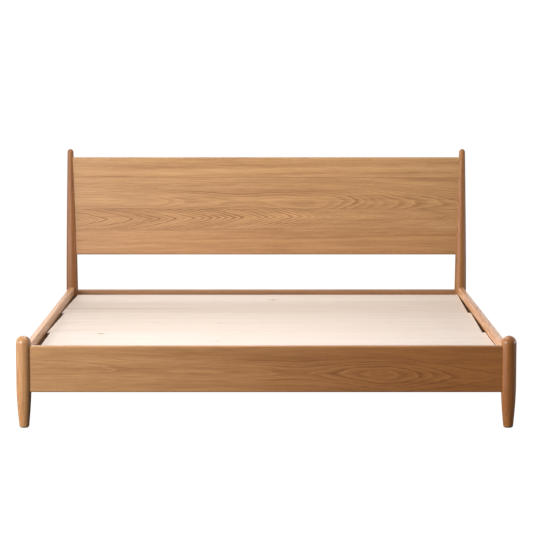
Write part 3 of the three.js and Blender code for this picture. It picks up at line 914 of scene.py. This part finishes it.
BOARD_FIGURES = (  # from the bottom board to the top one
    dict(seed=51, rings=3.4, side=-150, side_slope=0.015, depth=60, wander=16, contrast=0.35, lines=0.35,
         shade=(0.90, 0.90, 0.84), far_shade=(0.78, 0.74, 0.62)),
    dict(seed=52, rings=2.6, side=8, side_slope=0.01, depth=200, depth_slope=0.065, point=0.17, wander=9,
         contrast=0.85, lines=1.1, shade=(0.87, 0.89, 0.82), figured=(-9, -8, 0.05, 0.35)),
    dict(seed=53, rings=4.2, side=-40, side_slope=-0.01, depth=95, depth_slope=0.03, point=0.05, swell=20,
         eye=250, eye_length=260, wander=30, contrast=0.5, lines=1.0, shade=(0.89, 0.93, 0.88),
         far_shade=(0.83, 0.84, 0.74)),
    dict(seed=54, rings=3.6, side=-190, side_slope=0.01, depth=80, wander=20, contrast=0.35, lines=0.5,
         shade=(0.91, 0.96, 0.88)),
)


class BED_OT_headboard(bpy.types.Operator):
    """Makes the four boards of the leaning headboard panel"""
    bl_idname = "bed.headboard"
    bl_label = "Headboard"

    def execute(self, context):
        last = len(BOARD_HEIGHTS) - 1
        base = panel_start()
        for i, height in enumerate(BOARD_HEIGHTS):
            bottom = base + (GLUE_LINE / 2 if i > 0 else 0)
            top = base + height - (GLUE_LINE / 2 if i < last else 0)
            edges = [shape().panel_edge if i == outer else BOARD_EASE for outer in (0, last)]
            # rim gives each board painted shade along its edges, for the shadow of its joints.
            wooden(
                "oiled_oak", f"headboard_board_{i + 1}", headboard_blank(bottom, top, *edges), "x", "z",
                lean=shape().lean, rim=height / 2, **BOARD_FIGURES[i])
            base += height
        return {"FINISHED"}


PLANK_JOINTS = {  # mm, from each panel's front edge
    "front": (170, 300, 425, 540), "middle": (130, 250, 395, 530), "rear": (150, 270, 400, 560)}
OPEN_JOINTS = {"rear": ((150, 6),)}  # mm: joints drawn open at their left end as a painted shadow line, with its half width
KNOTS = {  # each knot's place, in the bed's own X and Y, with its radius and its darkness
    "front": (((-0.679, -0.426), 10 * MM, 1.0), ((-0.198, -0.652), 8 * MM, 0.4)),
    "middle": (((-0.197, -0.081), 11 * MM, 0.4),),
    "rear": (((0.031, 0.768), 12 * MM, 1.0),),
}
DECK_PAINTED_SHADE = {  # each panel's painted shade at its left and its right end: darker on the rear panels, and at their left, where less light falls
    "front": ((1, 1, 1), (1, 1, 1)), "middle": ((0.95, 0.94, 0.93), (0.98, 0.98, 0.97)),
    "rear": ((0.88, 0.86, 0.84), (0.97, 0.95, 0.92)),
}
LEG_NOTCH = {"x": 889 * MM, "y": 34 * MM}  # from the bed's middle, and behind the front legs' axes


class BED_OT_deck(bpy.types.Operator):
    """Glues up the three loose deck panels from planks"""
    bl_idname = "bed.deck"
    bl_label = "Deck Panels"

    def execute(self, context):
        for place, joints in PLANK_JOINTS.items():
            name = f"{place}_deck_panel"
            low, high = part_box(name)
            notched = place == "front"
            skew = 0 if notched else shape().deck_skew
            bm = box_mesh((low.x + skew / 2, low.y, low.z), (high.x - skew / 2, high.y, high.z))
            round_edges(bm, bm.edges[:], 1.2 * MM, 2)
            for joint in joints:
                self.score(bm, low.y + joint * MM, high.z)
            if skew:
                half = (high.y - low.y) / 2
                for vert in bm.verts:
                    vert.co.x += skew / 2 * (vert.co.y - low.y - half) / half
            if notched:
                rear = CORNERS["front"]["left"].y + LEG_NOTCH["y"]
                corners = [
                    box_mesh(
                        (min(sign * LEG_NOTCH["x"], sign), low.y - 0.01, low.z - 0.01),
                        (max(sign * LEG_NOTCH["x"], sign), rear, high.z + 0.01))
                    for sign in SIDES.values()]
                bm = carve(bm, corners)
            i = PLACES.index(place)
            heart = middle(name)
            knots = [((x - heart.x, y - heart.y, 0), *look) for (x, y), *look in KNOTS[place]]
            # Painted shadow lines in the open joints.
            seams = [(low.y + joint * MM - heart.y, half * MM) for joint, half in OPEN_JOINTS.get(place, ())]
            shade, far_shade = DECK_PAINTED_SHADE[place]
            wooden(
                "deck_pine", name, bm, "x", "y", f"{place}_deck", seed=60 + i, side=-150 + 140 * i,
                side_slope=0.02, depth=70, wander=50, knots=knots, seams=seams, shade=shade,
                far_shade=far_shade)
        return {"FINISHED"}

    def score(self, bm, y, top, depth=0.4 * MM, width=0.4 * MM):
        """A fine groove along the joint between two planks, on the upper face."""
        for place in (y - width, y, y + width):
            bmesh.ops.bisect_plane(
                bm, geom=bm.verts[:] + bm.edges[:] + bm.faces[:], plane_co=(0, place, 0), plane_no=(0, 1, 0))
        for vert in bm.verts:
            if abs(vert.co.y - y) < 1e-6 and vert.co.z > top - depth:
                vert.co.z -= depth


class BED_OT_deck_battens(bpy.types.Operator):
    """Planes the two battens that hold each deck panel's planks together"""
    bl_idname = "bed.deck_battens"
    bl_label = "Deck Battens"

    def execute(self, context):
        for place in PLACES:
            for side, sign in SIDES.items():
                name = f"{place}_deck_{side}_batten"
                wooden(
                    "frame_pine", name, eased_box(name), "y", "x", f"{place}_deck",
                    seed=70 + 3 * sign + PLACES.index(place), side=40 * sign, side_slope=0.04, depth=35)
        return {"FINISHED"}


SCREW = {"head": 4.5 * MM, "depth": 3 * MM, "radius": 2.2 * MM, "cross": Vector((2 * MM, 2.4 * MM, 0.5 * MM))}


def screw_face(side, place):
    """The middle of a cleat screw's head."""
    name = f"{side}_cleat_screw_{place}"
    _, y, z = middle(name)
    return Vector((min(abs(corner.x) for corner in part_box(name)) * SIDES[side], y, z))


def screw_mesh(side, place, grow=0.0):
    """A countersunk screw that points outwards from a side cleat."""
    radius, end = SCREW["radius"] + grow, span(f"{side}_cleat_screw_{place}") + grow
    outline = [(0, -grow), (SCREW["head"] + grow, -grow), (radius, SCREW["depth"]), (radius, end), (0, end)]
    return aimed(turned_mesh(outline, 32), AXES["x"] * SIDES[side], screw_face(side, place))


# Painted shadow: the side cleats are darkened so that the gap between the deck and each side rail looks
# shaded.
SIDE_CLEAT_PAINTED_SHADOW = (0.30, 0.22, 0.17)


class BED_OT_cleats(bpy.types.Operator):
    """Planes the cleats that carry the deck, and bores the side ones for their screws"""
    bl_idname = "bed.cleats"
    bl_label = "Cleats"

    def execute(self, context):
        for side, sign in SIDES.items():
            name = f"{side}_side_cleat"
            tools = [screw_mesh(side, place, GAP) for place in PLACES]
            wooden(
                "frame_pine", name, carve(eased_box(name), tools), "y", "z",
                seed=80 + sign, side=60, side_slope=0.02, depth=40, shade=SIDE_CLEAT_PAINTED_SHADOW)
            for end in ENDS:
                name = f"{end}_{side}_end_cleat"
                wooden(
                    "frame_pine", name, eased_box(name), "x", "z",
                    seed=84 + sign + len(end), side=50 * sign, side_slope=0.03, depth=40)
        return {"FINISHED"}


LEVELLER = {  # the centre leg's screw foot
    "stem": 5 * MM, "bore": 70 * MM, "shoulder": 12 * MM, "pitch": 1.5 * MM, "thread": 0.8 * MM}
LEVELLER_SHOULDER = ((0, 7), (1, 8.6), (4, 10.8), (7, 12))  # mm: in from the rim, and up from the floor


class BED_OT_centre_support(bpy.types.Operator):
    """Makes the centre beam and its turned leg"""
    bl_idname = "bed.centre_support"
    bl_label = "Centre Support"

    def execute(self, context):
        bolt_low, bolt_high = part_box("centre_leg_bolt")
        x, y = middle("centre_leg_bolt").xy
        bolt_hole = (span("centre_leg_bolt") / 2 + GAP, (x, y, bolt_low.z - GAP), (x, y, bolt_high.z + GAP))
        beam = carve(eased_box("centre_beam", 2 * MM), [rod_mesh(*bolt_hole)])
        wooden("frame_pine", "centre_beam", beam, "y", "z", seed=90, side=70, depth=40)

        low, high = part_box("centre_leg")
        foot, edge, radius = 16 * MM, 1.5 * MM, span("centre_leg") / 2
        shaft = [
            (foot + (radius - foot) * (z - low.z - edge) / (high.z - low.z - edge), z)
            for z in steps_between(low.z + edge, high.z, 15 * MM)]
        outline = [(0, low.z), *rounded_foot(foot, low.z, edge), *shaft, (0, high.z)]
        stem_hole = rod_mesh(LEVELLER["stem"] + GAP, (x, y, low.z - MM), (x, y, LEVELLER["bore"]))
        leg = carve(turned_mesh(outline, 64, (x, y, 0)), [stem_hole, rod_mesh(*bolt_hole)])
        wooden("frame_pine", "centre_leg", leg, "z", "x", seed=93, side=20, depth=30)
        return {"FINISHED"}


HANGER = {"plate": 2.5 * MM, "ear": 55 * MM}
SCREW_HEAD = ((0, -0.5), (4.2, -0.5), (4.2, 0.6), (3.6, 1.5), (2, 2), (0, 2.1))  # mm: radius and height


class BED_OT_fittings(bpy.types.Operator):
    """Makes the studs, half-moon nuts, screws, the centre leg's bolt and the beam's hangers"""
    bl_idname = "bed.fittings"
    bl_label = "Fittings"

    def execute(self, context):
        steel = zinc_steel()

        def fitting(name, bm, sharp=32):
            piece(name, bm, steel, sharp=sharp)

        for side in SIDES:
            for end in ENDS:
                for level in LEVELS:
                    name = f"{end}_{side}_{level}"
                    start, finish, radius = stud_span(end, side, level)
                    rod = threaded_rod(radius, (finish - start).length)
                    fitting(f"{name}_stud", aimed(rod, AXES["y"], start), 45)
                    fitting(f"{name}_nut", self.nut(end, side, level))
            for place in PLACES:
                face, reach = screw_face(side, place), SCREW["cross"]
                cross = [box_mesh(face - r, face + r) for r in (reach, reach.xzy)]
                fitting(f"{side}_cleat_screw_{place}", carve(screw_mesh(side, place), cross))
        low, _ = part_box("centre_leg_bolt")
        x, y = middle("centre_leg_bolt").xy
        rod = threaded_rod(span("centre_leg_bolt") / 2, span("centre_leg_bolt", "z"))
        fitting("centre_leg_bolt", aimed(rod, AXES["z"], (x, y, low.z)), 45)
        for end in ENDS:
            fitting(f"{end}_beam_hanger", self.hanger(end))
        return {"FINISHED"}

    def nut(self, end, side, level):
        """A half-moon face that bears on the round wall of the pocket, with a hexagon through it."""
        toward = -1 if end == "front" else 1
        heart = middle(f"{end}_{side}_{level}_nut")
        heart.y = pocket_y(end, side, level)
        half = NUT["thickness"] / 2
        moon = rod_mesh(NUT["radius"], (-half, 0, 0), (half, 0, 0), 96)
        cut_off(moon, (0, toward * NUT["flat"], 0), (0, -toward, 0))
        round_edges(moon, crisp_edges(moon), 0.7 * MM, 3)
        hexagon = bmesh.new()
        bmesh.ops.create_cone(
            hexagon, cap_ends=True, segments=6, radius1=NUT["hexagon"], radius2=NUT["hexagon"],
            depth=NUT["length"])
        round_edges(hexagon, hexagon.edges[:], 0.5 * MM, 2)
        bmesh.ops.transform(hexagon, matrix=Matrix.Rotation(math.radians(90), 4, "X"), verts=hexagon.verts)
        bm = carve(moon, [hexagon], "UNION")
        bm = carve(bm, [rod_mesh(NUT["bore"], (0, -0.02, 0), (0, 0.02, 0))])
        bmesh.ops.translate(bm, vec=heart, verts=bm.verts)
        return bm

    def hanger(self, end):
        """A folded plate: a trough for the beam with an ear on each side."""
        low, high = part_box(f"{end}_beam_hanger")
        plate = HANGER["plate"]
        inner = span("centre_beam") / 2 + GAP
        away, back = (1, low.y) if end == "front" else (-1, high.y)
        reach = high.y - low.y
        ears_from = high.z - HANGER["ear"]

        def part(x0, x1, from_back, to_back, z0, z1):
            ys = sorted((back + away * from_back, back + away * to_back))
            return box_mesh((x0, ys[0], z0), (x1, ys[1], z1))

        bm = carve(
            part(-inner - plate, inner + plate, 0, reach, low.z, high.z),
            [part(low.x, high.x, 0, plate, ears_from, high.z)], "UNION")
        bm = carve(bm, [part(-inner, inner, plate, reach + MM, low.z + plate, high.z + MM)])
        round_edges(bm, crisp_edges(bm), 0.6 * MM, 2)
        outline = [(radius * MM, height * MM) for radius, height in SCREW_HEAD]
        x, y = low.x + 10 * MM, back + away * plate
        heads = [
            aimed(turned_mesh(outline, 24), AXES["y"] * away, (sign * x, y, z))
            for sign in SIDES.values() for z in (ears_from + 12 * MM, high.z - 12 * MM)]
        return carve(bm, heads, "UNION")


class BED_OT_feet(bpy.types.Operator):
    """Moulds the glides and the centre leg's levelling foot"""
    bl_idname = "bed.feet"
    bl_label = "Glides and Levelling Foot"

    def execute(self, context):
        plastic = dark_plastic()
        thick, pin, ease = GLIDE["thickness"], GLIDE["pin"], GLIDE["ease"]
        for end in ENDS:
            for side in SIDES:
                name = f"{end}_{side}_glide"
                x, y = CORNERS[end][side].xy
                radius, top = span(name) / 2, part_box(name)[1].z
                outline = [
                    (0, 0), *rounded_foot(radius, 0, GLIDE["edge"]), (radius, thick - ease),
                    (radius - ease, thick), (pin, thick), (pin, top - MM), (pin - MM, top), (0, top)]
                piece(name, turned_mesh(outline, 64, (x, y, 0)), plastic)
        name = "centre_levelling_foot"
        x, y = middle(name).xy
        radius, top = span(name) / 2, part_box(name)[1].z
        stem, z = LEVELLER["stem"], LEVELLER["shoulder"]
        root = stem - LEVELLER["thread"]
        shoulder = [(radius - inset * MM, height * MM) for inset, height in LEVELLER_SHOULDER]
        ridges = []
        while z < top - 3 * MM:
            ridges += [(root, z + 0.1 * MM), (stem, z + 0.75 * MM), (root, z + 1.4 * MM)]
            z += LEVELLER["pitch"]
        outline = [(0, 0), *rounded_foot(radius, 0, 2 * MM), *shoulder, *ridges, (stem - MM, top), (0, top)]
        piece(name, turned_mesh(outline, 64, (x, y, 0)), plastic, "levelling_foot")
        return {"FINISHED"}


LIGHTS = {  # where each light stands, what it is aimed at, its width and height, and its tint
    "window": ((-3.4, -4.2, 1.6), (0.0, -0.6, 0.4), (1.8, 1.8), (1.0, 0.97, 0.94)),
    "far_window": ((-9.0, -1.3, 1.0), (0.0, 0.0, 0.4), (2.0, 1.6), (1.0, 0.96, 0.93)),
    "rear_window": ((-0.8, 6.0, 3.6), (0.0, 0.9, 0.5), (2.4, 1.8), (1.0, 0.98, 0.97)),
    "fill": ((6.5, 0.3, 0.9), (0.9, 0.0, 0.3), (2.0, 1.2), (1.0, 0.98, 0.97)),
    "ceiling": ((-0.4, -0.35, 3.0), (0.0, 0.3, 0.3), (2.8, 1.2), (1.0, 0.98, 0.97)),
}


class BED_OT_stage(bpy.types.Operator):
    """Lays the floor and sets up the light and the camera"""
    bl_idname = "bed.stage"
    bl_label = "Stage"

    def execute(self, context):
        stage = context.scene.bed_stage
        context.scene.view_settings.view_transform = "Standard"

        bm = bmesh.new()
        bmesh.ops.create_grid(bm, x_segments=2, y_segments=2, size=30)
        floor = as_object(bm, "floor")
        material, build = new_material("pale_floor")
        speckle = build.noise(build.place(), scale=3.0, detail=3.0)
        seen = build.add("ShaderNodeLightPath").outputs["Is Camera Ray"]
        shader = build.add("ShaderNodeBsdfPrincipled", {
            "Base Color": build.mix(speckle, (0.07, 0.07, 0.07, 1), (0.09, 0.09, 0.09, 1)),
            "Roughness": 0.9, "Specular IOR Level": 0.0, "Emission Color": (1, 1, 1, 1),
            "Emission Strength": build.scaled(seen, 1.0 - stage.floor_glow, stage.floor_glow)})
        under = build.add("ShaderNodeNewGeometry").outputs["Backfacing"]
        clear = build.add("ShaderNodeBsdfTransparent").outputs[0]
        shown = build.add("ShaderNodeMixShader", {0: under, 1: shader.outputs[0], 2: clear})
        build.add("ShaderNodeOutputMaterial", {"Surface": shown.outputs[0]})
        floor.data.materials.append(material)

        world = bpy.data.worlds.new("studio")
        context.scene.world = world
        world.use_nodes = True
        world.node_tree.nodes.clear()
        build = Tree(world.node_tree)
        light_path = build.add("ShaderNodeLightPath").outputs
        mirrored = build.scaled(light_path["Is Glossy Ray"], stage.mirrored_sky - stage.sky, stage.sky)
        strength = build.math("MAXIMUM", light_path["Is Camera Ray"], mirrored)
        tint = build.mix(light_path["Is Diffuse Ray"], (1, 1, 1, 1), (1.0, 0.76, 0.54, 1))
        background = build.add("ShaderNodeBackground", {"Color": tint, "Strength": strength})
        build.add("ShaderNodeOutputWorld", {"Surface": background.outputs[0]})

        for name, (place, target, size, tint) in LIGHTS.items():
            lamp = bpy.data.lights.new(name, "AREA")
            lamp.shape = "RECTANGLE"
            lamp.size, lamp.size_y = size
            lamp.energy = getattr(stage, f"{name}_power")
            lamp.color = tint
            holder = bpy.data.objects.new(name, lamp)
            context.scene.collection.objects.link(holder)
            holder.location = place
            holder.rotation_euler = (Vector(target) - Vector(place)).to_track_quat("-Z", "Y").to_euler()

        camera = bpy.data.cameras.new("camera")
        camera.lens = stage.camera_lens
        camera.sensor_width = 36
        viewer = bpy.data.objects.new("camera", camera)
        context.scene.collection.objects.link(viewer)
        viewer.location = stage.camera_place
        viewer.rotation_euler = (math.radians(90) - stage.camera_tilt, 0, 0)
        context.scene.camera = viewer
        return {"FINISHED"}


class BED_PT_workshop(bpy.types.Panel):
    """Lists the steps that make the bed, and its settings"""
    bl_label = "Oak Bed Workshop"
    bl_idname = "BED_PT_workshop"
    bl_space_type = "VIEW_3D"
    bl_region_type = "UI"
    bl_category = "Bed"

    def draw(self, context):
        for step in STEPS:
            self.layout.operator(step.bl_idname)
        for settings in (context.scene.bed_shape, context.scene.bed_finish, context.scene.bed_stage):
            box = self.layout.box()
            for name in settings.bl_rna.properties.keys():
                if name not in ("rna_type", "name"):
                    box.prop(settings, name)


SETTINGS = {"bed_shape": BedShape, "bed_finish": BedFinish, "bed_stage": BedStage}
STEPS = (
    BED_OT_end_rails, BED_OT_side_rails, BED_OT_front_legs, BED_OT_rear_posts, BED_OT_headboard, BED_OT_deck,
    BED_OT_deck_battens, BED_OT_cleats, BED_OT_centre_support, BED_OT_fittings, BED_OT_feet, BED_OT_stage)
CLASSES = (*SETTINGS.values(), *STEPS, BED_PT_workshop)


def register():
    for made in CLASSES:
        bpy.utils.register_class(made)
    for name, settings in SETTINGS.items():
        setattr(bpy.types.Scene, name, PointerProperty(type=settings))


def unregister():
    for name in SETTINGS:
        delattr(bpy.types.Scene, name)
    for made in reversed(CLASSES):
        bpy.utils.unregister_class(made)


def main():
    register()
    for step in STEPS:
        group, name = step.bl_idname.split(".")
        getattr(getattr(bpy.ops, group), name)()


if __name__ == "__main__":
    main()
